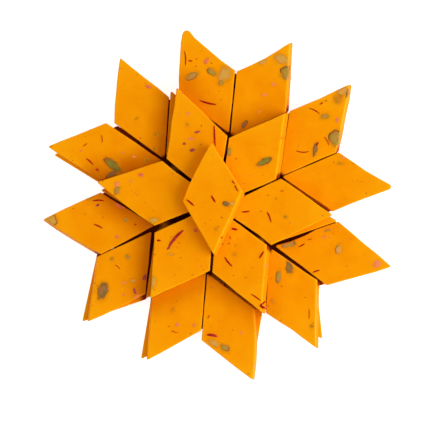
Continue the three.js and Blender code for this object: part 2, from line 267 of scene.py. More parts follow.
@dataclass(frozen=True)
class CashewPaste:
    """Cashew and sugar cooked with saffron, rolled between greased sheets and cut by knife.

    The dense paste lets a little light in.  Its tips are painted yellower, partly their own tone
    and partly painted light; a painted highlight runs along its edges, and painted shade darkens
    its joints and the faces beside the slabs on top.  Its rolled face is
    nearly matt; the cut walls are drier still and show the knife's drag.
    """

    name: str = "saffron_cashew_paste"
    face: str = "#FB9A02"
    cloud: str = "#F68F00"
    # towards the tips: partly the paste's own tone, partly painted light
    tip_light_tone: str = "#FFAC0C"
    speck: str = "#B8480C"
    cut_wall: str = "#F08C06"
    # a painted highlight along the upper edges
    edge_highlight: str = "#FFAA0E"
    soaked: str = "#A8660A"
    # painted shade beside the slabs on top, standing in for their shadow
    moist: str = "#D26A00"
    # painted shade in the joints between slabs
    shaded: str = "#8E0E04"
    # painted shade, nearly black, deep in the joints under the star
    pit: str = "#180C08"
    roughness: Pair = (0.46, 0.62)

    def material(self) -> Material:
        """Builds the material.

        Returns:
            It reads the points' values tip, edge, cut, stain, moist, joint, pit and batch.
        """
        made, node = new_material(self.name)
        place = node("ShaderNodeTexCoord").outputs["Object"]
        tip, edge, cut, stain, moist, joint, pit, batch = (
            node("ShaderNodeAttribute", attribute_name=name).outputs["Fac"]
            for name in ("tip", "edge", "cut", "stain", "moist", "joint", "pit", "batch")
        )
        # A knife drags the paste down the wall, so its marks are long in height.
        upright = node("ShaderNodeMapping", {"Vector": place, "Scale": (1.0, 1.0, 0.18)})
        cloud, fine, drag, dots = (
            node(f"ShaderNodeTex{kind}", {"Vector": where, "Scale": per_mm(size), **more})
            for kind, where, size, more in (
                ("Noise", place, 11, {"Detail": 3.0, "Roughness": 0.55}),
                ("Noise", place, 0.9, {"Detail": 4.0, "Roughness": 0.6}),
                ("Noise", upright, 0.7, {"Detail": 3.0}),
                ("Voronoi", place, 3.4, {"Randomness": 1.0}),
            )
        )
        drift = node("ShaderNodeMath", {0: cloud, 1: batch}, operation="ADD")
        ends = ("From Min", "From Max", "To Min", "To Max")
        cloudy, small, dull = (
            node("ShaderNodeMapRange", {"Value": value, **dict(zip(ends, limits))})
            for value, *limits in (
                (drift, 0.38, 0.72, 0.0, 1.0),
                (dots, 0.16, 0.06, 0.0, 0.3),
                (fine, 0.0, 1.0, *self.roughness),
            )
        )
        # Dust of saffron and nut skin, in the few cells of the pattern that are dark.
        few = node("ShaderNodeMath", {0: dots.outputs["Color"], 1: 0.36}, operation="LESS_THAN")
        dust = node("ShaderNodeMath", {0: small, 1: few}, operation="MULTIPLY")
        # Of these layers the tip's is partly painted light, the edge's is a painted highlight, and the
        # layers beside the slabs on top, in joints and in pits are painted shade.
        shares = (cloudy, tip, dust, cut, edge, stain, moist, joint, pit)
        tints = (self.cloud, self.tip_light_tone, self.speck, self.cut_wall, self.edge_highlight)
        layers = zip(shares, (*tints, self.soaked, self.moist, self.shaded, self.pit))
        colour = layered(node, linear(self.face), layers)
        relief = node("ShaderNodeMix", {"Factor": cut, "A": fine, "B": drag}, data_type="FLOAT")
        look = {
            "Specular IOR Level": 0.05,
            "Specular Tint": linear("#FFC060"),
            "Subsurface Weight": 0.06,
            "Subsurface Radius": (1.0, 0.35, 0.04),
            "Subsurface Scale": 1.2 * MM,
        }
        end_material(node, colour, dull, relief, (0.35, 0.08), look)
        return made


@dataclass(frozen=True)
class PressedFinish:
    """A kernel or petal rolled into the paste, with a film of paste over its rim.

    Pistachio is waxy and green in the heart, browner at its rim, and keeps purple skin on
    the outer side; a petal is matt and thin.
    """

    name: str
    slot: str
    heart: str
    blush: str
    rim: str
    skin: str = "#5A2E2A"
    film: str = "#F28E00"
    cover: float = 0.7  # how much of the rim's colour the film hides
    haze: float = 0.18  # and of the middle's, in patches
    proud: float = 0.14  # how far the middle stands out of the face, in mm
    roughness: float = 0.55

    def material(self) -> Material:
        """Builds the material.

        Returns:
            It reads the points' values rim and skin.
        """
        made, node = new_material(self.name)
        place = node("ShaderNodeTexCoord").outputs["Object"]
        rim, skin = (
            node("ShaderNodeAttribute", attribute_name=name).outputs["Fac"]
            for name in ("rim", "skin")
        )
        rough = {"Vector": place, "Detail": 3.0, "Roughness": 0.6}
        patch, smear, fibre = (
            node("ShaderNodeTexNoise", {**rough, "Scale": per_mm(size)}) for size in (2.8, 1.9, 0.8)
        )
        ragged = node("ShaderNodeMath", {0: smear, 1: 0.9, 2: rim}, operation="MULTIPLY_ADD")
        blushed, outer, hazy, filmed = (
            node(
                "ShaderNodeMapRange",
                {"Value": value, "From Min": low, "From Max": high, "To Max": most},
            )
            for value, low, high, most in (
                (patch, 0.44, 0.56, 1.0),
                (ragged, 0.85, 1.35, 0.8),
                (smear, 0.48, 0.66, self.haze),
                (ragged, 1.08, 1.46, self.cover),
            )
        )
        tints = (self.blush, self.rim, self.film, self.film, self.skin)
        layers = zip((blushed, outer, hazy, filmed, skin), tints)
        look = {"Specular IOR Level": 0.16, "Specular Tint": linear("#FFD8A0")}
        colour = layered(node, linear(self.heart), layers)
        end_material(node, colour, self.roughness, fibre, (0.4, 0.1), look)
        return made


@dataclass(frozen=True)
class DryFinish:
    """Something dry and fibrous, in one colour that shifts a little along it."""

    name: str
    slot: str
    dark: str
    light: str
    patch: float  # how far apart the lighter places are, in mm
    roughness: float = 0.6

    def material(self) -> Material:
        """Builds the material, which reads Object coordinates only."""
        made, node = new_material(self.name)
        place = node("ShaderNodeTexCoord").outputs["Object"]
        pattern = {"Vector": place, "Scale": per_mm(self.patch), "Detail": 2.0}
        tone = node("ShaderNodeTexNoise", pattern)
        spread = node("ShaderNodeMapRange", {"Value": tone, "From Min": 0.35, "From Max": 0.65})
        colour = layered(node, linear(self.dark), [(spread, self.light)])
        look = {"Specular IOR Level": 0.12, "Specular Tint": linear("#FFB080")}
        end_material(node, colour, self.roughness, tone, (0.3, 0.05), look)
        return made


class Tone(Enum):
    """What a fleck is, by the look it has under its film of paste."""

    GREEN = PressedFinish("pistachio_green", "pistachio", "#8A862C", "#86702A", "#5A460E")
    OLIVE = PressedFinish("pistachio_olive", "pistachio", "#AA8E34", "#C08440", "#926814")
    PALE = PressedFinish("pistachio_pale", "pistachio", "#D0A040", "#DE9A4C", "#C88418")
    DUSK = PressedFinish("pistachio_dusk", "pistachio", "#806A30", "#A06A3C", "#6A4816")
    SUNKEN = PressedFinish(
        "pistachio_sunken", "pistachio", "#B07A14", "#C87E18", "#D88808", cover=0.95, haze=0.6
    )
    PINK = PressedFinish(
        "petal_pink", "rose", "#F0824C", "#F28E5C", "#F08030", cover=0.95, haze=0.5, proud=0.06
    )
    ROSE = PressedFinish("petal_rose", "rose", "#E0604A", "#EA8068", "#DE5C28", cover=0.85, proud=0.08)
    PLUM = PressedFinish("petal_plum", "rose", "#9C3040", "#B44A4C", "#A03C20", proud=0.08)
    RED = PressedFinish(
        "saffron_bit", "saffron", "#A81E0C", "#B63210", "#C04A08", cover=0.85, haze=0.3, proud=0.1
    )


class Strand(Enum):
    """What a thread is."""

    CRIMSON = DryFinish("saffron_crimson", "saffron", "#9E040C", "#B61410", 3.0)
    FAINT = DryFinish("saffron_filmed", "saffron", "#C04408", "#D85C06", 3.0)
    MAGENTA = DryFinish("petal_magenta", "rose", "#A01C22", "#BC3830", 4.0)


class Dust(Enum):
    """What a scattered speck is."""

    SAFFRON = DryFinish("dust_saffron", "saffron", "#C04A06", "#D46406", 1.5)
    PISTACHIO = DryFinish("dust_pistachio", "pistachio", "#B07A10", "#C4841A", 1.5)
    PETAL = DryFinish("dust_petal", "rose", "#E4702C", "#EE8440", 1.5)


# ---- What is pressed in, and where ----


@dataclass(frozen=True)
class Fleck:
    """A kernel, petal or bit in a slab's face: its middle, length and width, and turn.

    skin says on which side of it purple skin shows, in degrees, if any does.
    """

    at: Pair
    size: Pair
    turn: float
    tone: Tone
    skin: float | None = None


@dataclass(frozen=True)
class Thread:
    """A strand pressed into a slab's face, thickest in the middle, with a bow to its left."""

    start: Pair
    end: Pair
    width: float
    kind: Strand
    bow: float = 0.0


GREEN, OLIVE, PALE, DUSK, SUNKEN, PINK, ROSE, PLUM, RED = Tone
CRIMSON, FAINT, MAGENTA = Strand

# For each slab: the middle, length, width, turn and look, and the side of any skin.
FLECK_ROWS: dict[str, list[tuple]] = {
    "outer_01": [
        (-39.3, 67.8, 3.6, 2.3, -20, ROSE), (-34.9, 40.6, 4.4, 2.1, 82, SUNKEN),
        (-35.5, 31.8, 3.0, 2.4, 40, SUNKEN), (-46.0, 49.6, 2.6, 0.9, 30, SUNKEN),
    ],
    "outer_02": [
        (-14.3, 74.0, 8.8, 4.0, 25, OLIVE, -70), (-3.1, 76.3, 6.4, 3.8, -35, OLIVE, 200),
        (4.4, 75.0, 10.0, 8.0, 70, PALE), (2.3, 70.2, 4.2, 3.6, 30, OLIVE),
        (-6.0, 82.6, 5.2, 2.6, 50, ROSE),
    ],
    "outer_03": [
        (36.8, 83.5, 10.8, 5.6, -22, PALE), (40.2, 75.6, 9.4, 9.0, 60, OLIVE, 115),
        (26.0, 81.9, 5.2, 3.0, 28, PALE), (15.7, 46.2, 5.8, 2.6, 55, DUSK, 60),
        (32.3, 69.1, 3.6, 2.1, -20, PINK), (26.8, 63.2, 3.8, 1.9, 0, PINK),
        (24.0, 53.5, 3.0, 1.6, 60, PINK),
    ],
    "outer_04": [
        (71.4, 65.4, 7.4, 5.4, 20, PALE), (74.4, 64.2, 6.8, 2.0, 80, DUSK),
        (61.5, 50.9, 5.6, 3.4, 0, OLIVE), (69.4, 61.0, 7.6, 6.0, 60, SUNKEN),
        (68.6, 38.4, 10.4, 9.0, 55, OLIVE, 125), (56.0, 31.8, 8.2, 2.7, 82, DUSK, 180),
        (68.5, 48.7, 3.0, 1.8, 75, ROSE), (59.6, 58.2, 2.6, 1.2, 35, RED), (62.3, 59.8, 1.4, 1.0, 20, RED),
    ],
    "outer_05": [
        (70.5, 23.8, 3.4, 1.4, 0, SUNKEN), (72.5, 27.2, 3.6, 1.4, -20, PINK),
        (78.4, 24.3, 1.7, 1.3, 0, SUNKEN),
    ],
    "outer_06": [
        (40.3, -22.2, 9.0, 4.6, 8, OLIVE), (43.9, -21.0, 3.2, 2.0, -62, GREEN, -60),
        (69.4, -25.2, 6.0, 3.8, 78, PALE, 170), (63.1, -14.2, 3.8, 1.7, 5, OLIVE),
        (91.4, -33.4, 5.6, 4.4, 30, PINK), (61.4, -18.2, 3.0, 1.6, 0, PINK),
    ],
    "outer_07": [
        (35.1, -40.7, 8.4, 3.0, 84, OLIVE, 185), (41.2, -35.2, 9.0, 4.6, -82, DUSK),
        (54.3, -69.1, 2.9, 2.7, 0, SUNKEN), (31.7, -54.9, 3.2, 1.6, -60, SUNKEN),
    ],
    "outer_08": [
        (-1.8, -78.8, 6.8, 3.4, -24, PALE), (4.4, -81.4, 6.2, 4.2, -24, OLIVE, -30),
        (13.7, -72.8, 2.4, 1.6, 80, PINK), (22.5, -91.5, 4.0, 3.0, 20, PINK),
    ],
    "outer_09": [
        (-25.3, -59.5, 2.6, 1.5, 60, SUNKEN), (-22.9, -68.2, 2.3, 2.0, 0, ROSE),
        (-13.2, -68.6, 2.0, 1.7, 40, ROSE),
    ],
    "outer_10": [
        (-65.5, -48.8, 11.4, 7.4, 78, DUSK), (-60.0, -30.5, 2.8, 2.3, 20, SUNKEN),
        (-51.2, -29.4, 3.2, 2.0, -45, OLIVE), (-41.2, -41.2, 4.6, 2.8, 62, PLUM),
        (-47.1, -49.1, 4.6, 1.9, -70, PLUM), (-48.0, -43.1, 3.6, 1.9, 10, PALE),
        (-52.9, -44.2, 3.2, 1.7, 20, PINK), (-45.7, -52.0, 4.0, 1.8, 28, PINK),
        (-53.2, -51.0, 1.8, 1.2, 40, ROSE),
    ],
    "outer_11": [
        (-94.6, -8.6, 7.6, 6.4, 80, PALE, 0), (-72.0, 4.3, 5.4, 1.8, 25, SUNKEN),
        (-52.0, -8.2, 3.0, 2.6, 0, OLIVE), (-57.2, -18.0, 2.2, 1.9, 40, ROSE),
        (-55.5, -0.4, 6.6, 2.4, -38, ROSE), (-68.3, 0.1, 2.4, 1.6, 30, PLUM),
        (-46.6, -10.9, 1.6, 1.5, 0, RED), (-86.4, -18.0, 3.6, 1.4, -30, PINK),
    ],
    "outer_12": [
        (-59.4, 22.9, 13.2, 4.8, -38, GREEN, 140), (-60.4, 17.6, 7.6, 4.4, 38, DUSK),
        (-40.2, 25.8, 3.8, 3.2, 60, SUNKEN), (-47.5, 27.8, 2.6, 1.5, 0, PINK),
        (-68.6, 20.3, 2.7, 2.0, -30, RED), (-53.9, 30.2, 1.4, 1.2, 0, ROSE),
        (-78.0, 31.2, 1.4, 1.0, 0, ROSE),
    ],
    "star_01": [
        (-11.1, 41.7, 3.7, 1.6, 20, PLUM), (-18.6, 35.0, 2.1, 1.8, 0, PLUM),
        (-14.0, 31.3, 3.6, 2.0, 15, PLUM), (-14.8, 37.8, 4.8, 1.7, 0, PINK),
        (-16.5, 52.0, 3.0, 1.7, 30, PINK), (-16.8, 45.7, 2.1, 1.7, 0, SUNKEN),
    ],
    "star_02": [
        (6.8, 30.4, 5.2, 2.9, 80, OLIVE), (26.5, 24.7, 9.6, 3.8, 24, GREEN, -50),
        (37.2, 38.3, 2.6, 0.9, 0, SUNKEN), (10.8, 26.4, 1.3, 1.0, 0, RED),
    ],
    "star_03": [(39.0, -6.6, 2.2, 1.8, 30, SUNKEN), (33.5, 3.7, 1.3, 1.0, 0, SUNKEN)],
    "star_04": [
        (27.7, -34.7, 3.2, 1.5, 78, PINK), (29.5, -46.9, 3.2, 1.3, 82, PINK),
        (6.6, -21.9, 1.7, 1.2, 40, RED), (10.5, -23.0, 1.8, 0.9, 70, SUNKEN),
        (9.9, -28.1, 1.9, 1.2, 45, SUNKEN), (2.8, -22.0, 1.8, 1.1, 10, RED),
    ],
    "star_05": [
        (-36.4, -43.5, 7.8, 3.4, 86, PALE), (-26.4, -27.9, 4.4, 0.9, 2, PALE),
        (-12.0, -14.2, 3.4, 2.2, -40, ROSE), (-27.6, -24.4, 2.6, 1.4, 30, PLUM),
    ],
    "star_06": [
        (-56.9, 8.4, 5.2, 3.0, 78, OLIVE), (-57.0, 12.0, 3.6, 2.8, 60, PINK),
        (-36.1, -8.5, 7.0, 2.8, 4, PALE), (-43.2, 17.1, 3.4, 2.1, 0, ROSE),
        (-48.9, 13.9, 2.2, 1.5, 80, PINK),
    ],
    "crown": [
        (5.0, 0.7, 4.4, 3.2, -22, DUSK, 150), (8.2, 1.0, 3.4, 2.4, 10, PALE),
        (-0.5, -13.4, 1.8, 1.3, 30, SUNKEN), (2.7, -18.3, 2.2, 1.2, 10, RED),
        (2.6, -7.1, 1.2, 0.9, 0, RED),
    ],
}
FLECKS = {
    node: tuple(Fleck((x, y), (length, width), *look) for x, y, length, width, *look in rows)
    for node, rows in FLECK_ROWS.items()
}

# For each slab: start, end, width and kind, and any bow.
THREAD_ROWS: dict[str, list[tuple]] = {
    "outer_02": [
        (-9.9, 59.9, -0.5, 57.5, 1.0, CRIMSON, -0.3), (-18.7, 88.3, -18.1, 79.8, 0.6, CRIMSON, 0.4),
        (-16.4, 82.6, -14.0, 82.5, 0.9, FAINT),
    ],
    "outer_04": [
        (52.4, 55.5, 58.5, 52.3, 0.6, CRIMSON, 0.5), (45.1, 31.2, 52.5, 30.9, 0.6, CRIMSON, -0.7),
        (61.1, 39.2, 64.0, 34.0, 0.7, FAINT, 0.5), (56.7, 33.8, 57.9, 36.2, 0.8, CRIMSON),
    ],
    "outer_06": [
        (54.7, -38.5, 58.7, -37.1, 0.7, CRIMSON, 0.2), (46.5, -23.7, 50.0, -21.7, 0.7, CRIMSON, -0.3),
        (52.0, -19.7, 54.5, -19.1, 0.6, FAINT),
    ],
    "outer_07": [(52.5, -59.1, 52.5, -65.0, 0.6, FAINT, 0.3)],
    "outer_08": [
        (-5.7, -74.0, 0.1, -75.0, 1.5, MAGENTA, 0.3), (-5.5, -64.8, -4.3, -62.5, 0.7, FAINT, -0.2),
    ],
    "outer_09": [(-26.0, -71.5, -22.2, -72.6, 0.6, FAINT, -0.4)],
    "outer_10": [(-58.4, -34.2, -55.6, -36.4, 0.6, FAINT, 0.4)],
    "outer_11": [
        (-70.4, -10.8, -65.5, -13.1, 0.8, CRIMSON, 0.2), (-70.9, 2.6, -64.8, 2.5, 0.8, CRIMSON, 0.4),
    ],
    "outer_12": [
        (-74.7, 26.7, -70.8, 23.2, 0.8, CRIMSON, 0.2), (-66.3, 40.3, -65.7, 35.8, 0.6, FAINT, 0.4),
        (-76.8, 33.8, -74.2, 35.6, 0.6, FAINT, -0.3),
    ],
    "star_01": [(-1.6, 45.6, -0.9, 33.6, 0.9, CRIMSON, -0.2)],
    "star_03": [
        (13.9, -3.8, 18.6, -3.3, 0.8, CRIMSON, -0.2), (28.5, -3.7, 30.8, -9.8, 0.8, CRIMSON, 0.2),
        (35.8, 7.9, 38.2, 8.2, 0.6, FAINT),
    ],
    "star_04": [
        (8.3, -13.3, 11.5, -13.9, 1.2, CRIMSON), (4.3, -29.5, 8.6, -34.8, 0.9, CRIMSON, -0.2),
        (24.0, -30.2, 26.6, -26.2, 0.9, CRIMSON), (19.3, -50.5, 24.9, -54.3, 0.7, CRIMSON, 0.2),
        (24.3, -56.8, 27.8, -59.2, 1.3, CRIMSON), (24.7, -56.7, 27.5, -54.8, 1.0, CRIMSON),
        (7.0, -17.4, 8.0, -19.4, 0.7, FAINT),
    ],
    "star_05": [
        (-19.0, -14.2, -27.4, -23.8, 1.5, MAGENTA, -0.7), (-34.2, -20.0, -32.0, -20.1, 1.0, CRIMSON),
    ],
    "crown": [
        (-17.2, 3.1, -13.0, -0.5, 0.9, CRIMSON, 0.2), (-3.2, 5.4, -0.9, 1.5, 1.0, CRIMSON),
        (8.4, 13.9, 10.0, 12.0, 0.7, CRIMSON), (10.1, 11.3, 12.0, 7.7, 0.7, CRIMSON, -0.2),
    ],
}
THREADS = {
    node: tuple(Thread(row[:2], row[2:4], *row[4:]) for row in rows)
    for node, rows in THREAD_ROWS.items()
}


# ---- The slabs ----


@dataclass(frozen=True)
class Outline:
    """A slab's outline at one height: its middle, and how far it reaches at each angle."""

    centre: Points
    angles: Points
    radii: Points
    inradius: float

    @classmethod
    def of(cls, centre: Points, angles: Points, radii: Points) -> "Outline":
        """Measures the distance from the middle to the straight sides too."""
        rim = centre + fan_of(angles) * radii[:, None]
        ahead = np.roll(rim, -1, axis=0)
        area = cross(rim, ahead).sum() / 2
        return cls(centre, angles, radii, 2 * area / np.hypot(*(ahead - rim).T).sum())

    def blend(self, other: "Outline", share: float) -> "Outline":
        """The outline that is share of the way from this one to the other."""
        return Outline(
            self.centre + (other.centre - self.centre) * share,
            self.angles,
            self.radii + (other.radii - self.radii) * share,
            self.inradius + (other.inradius - self.inradius) * share,
        )

    def points(self, inset: float = 0.0) -> Points:
        """The outline, moved in by inset mm on every side, counter-clockwise."""
        share = 1 - inset / self.inradius
        return self.centre + fan_of(self.angles) * (self.radii * share)[:, None]

    def depth(self, points: Points) -> Points:
        """How far inside the outline each point lies, in mm; less than 0 is outside."""
        offset = points[:, :2] - self.centre
        angle = np.arctan2(offset[:, 1], offset[:, 0])
        reach = np.interp(angle, self.angles, self.radii, period=2 * math.pi)
        return (1 - np.hypot(*offset.T) / reach) * self.inradius


def away_from(outline: Outline, points: Points) -> Points:
    """How far outside an outline each point lies, in mm, and 0 inside it."""
    reach = points[:, None, :2] - outline.points()[None]
    return np.hypot(reach[..., 0], reach[..., 1]).min(axis=1) * (outline.depth(points) < 0)


def section(triangles: Points, height: float) -> Points:
    """Cuts a closed mesh with a level plane.

    Args:
        triangles: three corners a triangle, in mm.
        height: the plane's height.

    Returns:
        A start and an end a segment; together they run one way round the cut.
    """
    above = triangles[:, :, 2] > height
    segments = []
    for k in range(3):
        alone, after, before = k, (k + 1) % 3, (k + 2) % 3
        for side in (True, False):
            chosen = (above[:, alone] == side) & (above[:, after] != side)
            chosen &= above[:, before] != side
            ends = []
            for other in (after, before) if side else (before, after):
                low, high = triangles[chosen, alone], triangles[chosen, other]
                share = (height - low[:, 2]) / (high[:, 2] - low[:, 2])
                ends.append((low + (high - low) * share[:, None])[:, :2])
            segments.append(np.stack(ends, axis=1))
    return np.concatenate(segments)


def middle_of(segments: Points) -> Points:
    """The centre of the area that oriented segments go round."""
    start, end = segments[:, 0], segments[:, 1]
    twice = cross(start, end)
    return ((start + end) * twice[:, None]).sum(axis=0) / (3 * twice.sum())


def reach_of(segments: Points, centre: Points, angles: Points) -> Points:
    """How far the outermost segment lies from the centre at each angle."""
    start = segments[:, 0] - centre
    along = segments[:, 1] - segments[:, 0]
    rays = fan_of(angles)[:, None]
    across = cross(rays, along[None])
    across = np.where(np.abs(across) < 1e-12, 1e-12, across)
    distance = cross(start, along)[None] / across
    share = cross(start[None], rays) / across
    hit = (share > -1e-6) & (share < 1 + 1e-6) & (distance > 0)
    return np.where(hit, distance, 0).max(axis=1)


@dataclass(frozen=True)
class Fineness:
    """How many points and rings a slab is lofted with."""

    around: int
    wall: int
    shoulder: int
    face: int


SEEN = Fineness(around=216, wall=8, shoulder=7, face=15)
COVERED = Fineness(around=132, wall=6, shoulder=4, face=10)


@dataclass
class Slab:
    """One katli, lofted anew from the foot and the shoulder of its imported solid."""

    node: str
    seed: int
    detail: Fineness
    corner_pull: float = 14.0  # points crowd at corners as if each were this many mm
    wall_wave: float = 0.07
    face_wave: float = 0.09
    joint_reach: Pair = (-5.0, -1.6)
    wall_shade: tuple[float, ...] = (0.6, 0.85, 0.9, 0.9)  # painted shade in joints, for each tier
    face_shade: tuple[float, ...] = (0.93, 0.95, 0.9, 0.9)  # painted shade at the bottom of joints
    star_reach: Pair = (33.0, 27.0)  # inside this radius all below the star is painted dark as shade
    star_shade_reach: Pair = (17.0, 4.0)  # painted shade: the shadow of the slabs on top, beside them
    star_shade_share: tuple[float, ...] = (0.0, 0.75, 0.0, 0.0)
    floor: float = field(init=False)
    foot: Outline = field(init=False)
    shoulder: Outline = field(init=False)

    def __post_init__(self) -> None:
        """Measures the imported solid."""
        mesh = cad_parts[self.node].data
        mesh.calc_loop_triangles()
        corners = np.array([v.co for v in mesh.vertices]) / MM
        index = np.array([t.vertices[:] for t in mesh.loop_triangles])
        triangles = corners[index]
        self.floor = round(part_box(self.node)[0].z / MM / TIER_STEP) * TIER_STEP
        self.levels = (FOOT_ROUND + 0.05, THICKNESS - PACKED_DROP - 0.05)
        cuts = [section(triangles, self.floor + level) for level in self.levels]
        low, high = (middle_of(cut) for cut in cuts)
        angles = self._spread(cuts[1], high)
        self.foot = Outline.of(low, angles, reach_of(cuts[0], low, angles))
        self.shoulder = Outline.of(high, angles, reach_of(cuts[1], high, angles))

    def _spread(self, cut: Points, centre: Points) -> Points:
        """Angles that follow the outline evenly and crowd at its corners."""
        even = np.linspace(-math.pi, math.pi, 1440, endpoint=False)
        rim = fan_of(even) * reach_of(cut, centre, even)[:, None]
        step = np.roll(rim, -1, axis=0) - rim
        heading = np.arctan2(step[:, 1], step[:, 0])
        turn = np.abs((np.roll(heading, -1) - heading + math.pi) % (2 * math.pi) - math.pi)
        weight = np.hypot(*step.T) + self.corner_pull * turn
        travelled = np.concatenate([[0], np.cumsum(weight)])
        wanted = np.linspace(0, travelled[-1], self.detail.around, endpoint=False)
        return np.interp(wanted, travelled, np.append(even, math.pi))

    @property
    def tier(self) -> int:
        """How many tiers lie under this one."""
        return round(self.floor / TIER_STEP)

    def at(self, height: float) -> Outline:
        """The outline at a height above the slab's foot, before any rounding."""
        low, high = self.levels
        return self.foot.blend(self.shoulder, (height - low) / (high - low))

    def rolled(self, points: Points) -> Points:
        """How far the rolled face stands above or below level at each point."""
        wide = grain(points[:, :2], 13.0, self.seed) * self.face_wave
        return wide + grain(points[:, :2], 3.2, self.seed + 0.5) * self.face_wave * 0.3

    def face_at(self, points: Points) -> Points:
        """The height of the face, and past it of a leaning wall, at each x and y."""
        inside = self.at(THICKNESS).depth(points)
        near = np.clip(1 - inside / EDGE_INSET, 0, 1)
        face = THICKNESS - EDGE_DROP * (1 - np.sqrt(1 - near**2)) + self.rolled(points)
        lean = np.maximum(self.at(0).depth(points) - inside, 1e-6)
        wall = THICKNESS * (1 + np.minimum(inside, 0) / lean)
        return self.floor + np.where(inside < 0, np.clip(wall, 0, face), face)

    def beside(self, points: Points) -> Points:
        """How far inside the outline halfway up each point lies; less than 0 is outside."""
        return self.at(THICKNESS / 2).depth(points)

    def profile(self) -> list[tuple[float, float]]:
        """Heights and insets of the rings, from the foot up the wall and in over the face."""
        count = self.detail
        quarter = math.pi / 2
        rings = [
            (FOOT_ROUND * (1 - math.cos(a)), FOOT_ROUND * (1 - math.sin(a)))
            for a in np.linspace(0, quarter, 4)
        ]
        top = THICKNESS - EDGE_DROP
        rings += [(h, 0.0) for h in np.linspace(FOOT_ROUND, top, count.wall + 2)[1:-1]]
        rings += [
            (top + EDGE_DROP * math.sin(a), EDGE_INSET * (1 - math.cos(a)))
            for a in np.linspace(0, quarter, count.shoulder)
        ]
        room = self.shoulder.inradius - EDGE_INSET
        steps = np.linspace(0, 1, count.face + 2)[1:-1] ** 1.15
        return rings + [(THICKNESS, EDGE_INSET + room * step) for step in steps]

    def shell(self, neighbours: list["Slab"], flecks: tuple[Fleck, ...]) -> tuple:
        """Lofts the slab, with the flecks in its face, among all the other slabs.

        Returns:
            The points, the faces, and the points' values by name.
        """
        rings, edge, cut = [], [], []
        top = THICKNESS - EDGE_DROP
        for height, inset in self.profile():
            flat = self.at(height).points(inset)
            level = np.full(len(flat), self.floor + height)
            ring = np.column_stack([flat, level])
            if height <= top:
                ring = self._knife_marks(ring, height)
            if height > top:
                share = (height - top) / EDGE_DROP
                ring[:, 2] += self.rolled(ring) * share
            rings.append(ring)
            away = max(top - height, inset - EDGE_INSET, 0)
            edge.append(np.full(len(flat), math.exp(-away / 0.45)))
            cut.append(np.full(len(flat), 1 - smooth(np.array(height), top - 0.3, top + 0.5)))
        bottom = np.append(self.foot.centre, self.floor)
        middle = self.shoulder.centre[None]
        crest = np.append(middle[0], self.floor + THICKNESS + self.rolled(middle)[0])
        points, faces = loft(rings, bottom, crest)
        # The painted highlight along the edge comes and goes.
        patchy_highlight = 0.45 + 0.45 * grain(points, 5.0, self.seed + 0.9)
        # The edge value carries a painted highlight and the tip value partly painted light; the values in
        # joints, in pits and beside the slabs on top carry painted shade.
        values = {
            "edge": np.concatenate([[0], *edge, [0]]) * patchy_highlight,
            "cut": np.concatenate([[1], *cut, [0]]),
            "tip": self._tip_light(points),
            "stain": self._stain(points, flecks),
            "moist": self._painted_star_shade(points, neighbours),
            "joint": (joint := self._joint(points, neighbours)),
            "pit": joint * self._pit(points),
            "batch": np.full(len(points), 0.05 * math.sin(self.seed * 2.4)),
            "open": self._open(points, neighbours),
        }
        return points, faces, values

    def _knife_marks(self, ring: Points, height: float) -> Points:
        """Pushes a wall's ring in and out a little, as a knife does on its way down."""
        outward = fan_of(self.shoulder.angles)
        fade = smooth(np.array(height), -0.1, FOOT_ROUND)
        along = grain(ring * (1, 1, 0.25), 2.6, self.seed + 0.2)
        torn = grain(ring, 0.9, self.seed + 0.7) * 0.35
        ring[:, :2] += outward * ((along + torn) * self.wall_wave * fade)[:, None]
        return ring

    def _tip_light(self, points: Points) -> Points:
        """How near each point is to the tip, which is painted yellower: partly the paste's own tone,
        partly painted light.
        """
        rim = self.shoulder.points()
        axis = rim[np.argmax(np.hypot(*rim.T))] - self.shoulder.centre
        share = (points[:, :2] - self.shoulder.centre) @ axis / (axis @ axis)
        drift = 0.12 * grain(points[:, :2], 9.0, self.seed + 0.3)
        return 0.5 * smooth(share + drift, 0.1, 1.0)

    def _joint(self, points: Points, neighbours: list["Slab"]) -> Points:
        """How deep each point lies in a joint, of its own tier or on the face of the next: the share of
        painted shade there.
        """
        below = self.floor + THICKNESS - points[:, 2]
        wall = below > EDGE_DROP
        sides = wall.astype(float)
        for other in neighbours:
            near = smooth(other.beside(points), *self.joint_reach)
            if other.tier == self.tier:
                sides += near * wall
            if other.tier == self.tier + 1:
                sides += near * ~wall
        down = smooth(below, 0.35, 1.8) * self.wall_shade[self.tier]
        closed = smooth(sides, 1.15, 1.9) * np.where(wall, down, self.face_shade[self.tier])
        return np.maximum(closed, self._under_star(points))

    def _under_star(self, points: Points) -> Points:
        """1 for points in the gaps of the star's own footprint, in the two tiers below it, which are
        painted fully in shade.
        """
        return smooth(radius_of(points), *self.star_reach) * (self.tier < 2)

    def _pit(self, points: Points) -> Points:
        """How nearly black the painted shade in a joint is at each point: most under the star, none
        outside.
        """
        if self.tier == 0:
            return 0.6 * smooth(radius_of(points), 60, 40)
        wall = points[:, 2] < self.floor + THICKNESS - EDGE_DROP
        own = np.where(wall, 0.0 if self.tier == 1 else 0.3, 0.8)
        return np.maximum(own, 0.85 * self._under_star(points))

    def _painted_star_shade(self, points: Points, neighbours: list["Slab"]) -> Points:
        """How much painted shade darkens the face beside the slabs on top, as their shadow: least on the
        window's side.
        """
        on_top = [other for other in neighbours if other.tier == self.tier + 1]
        if not self.star_shade_share[self.tier]:
            return np.zeros(len(points))
        near = [away_from(other.at(THICKNESS / 2), points) for other in on_top]
        outward = points[:, 0] / np.maximum(radius_of(points), 1)
        lee = 0.56 - 0.44 * outward
        patchy = 1 + 0.3 * grain(points[:, :2], 7.0, self.seed + 0.6)
        close = smooth(np.min(near, axis=0), *self.star_shade_reach)
        return np.clip(close * lee * patchy * self.star_shade_share[self.tier], 0, 1)

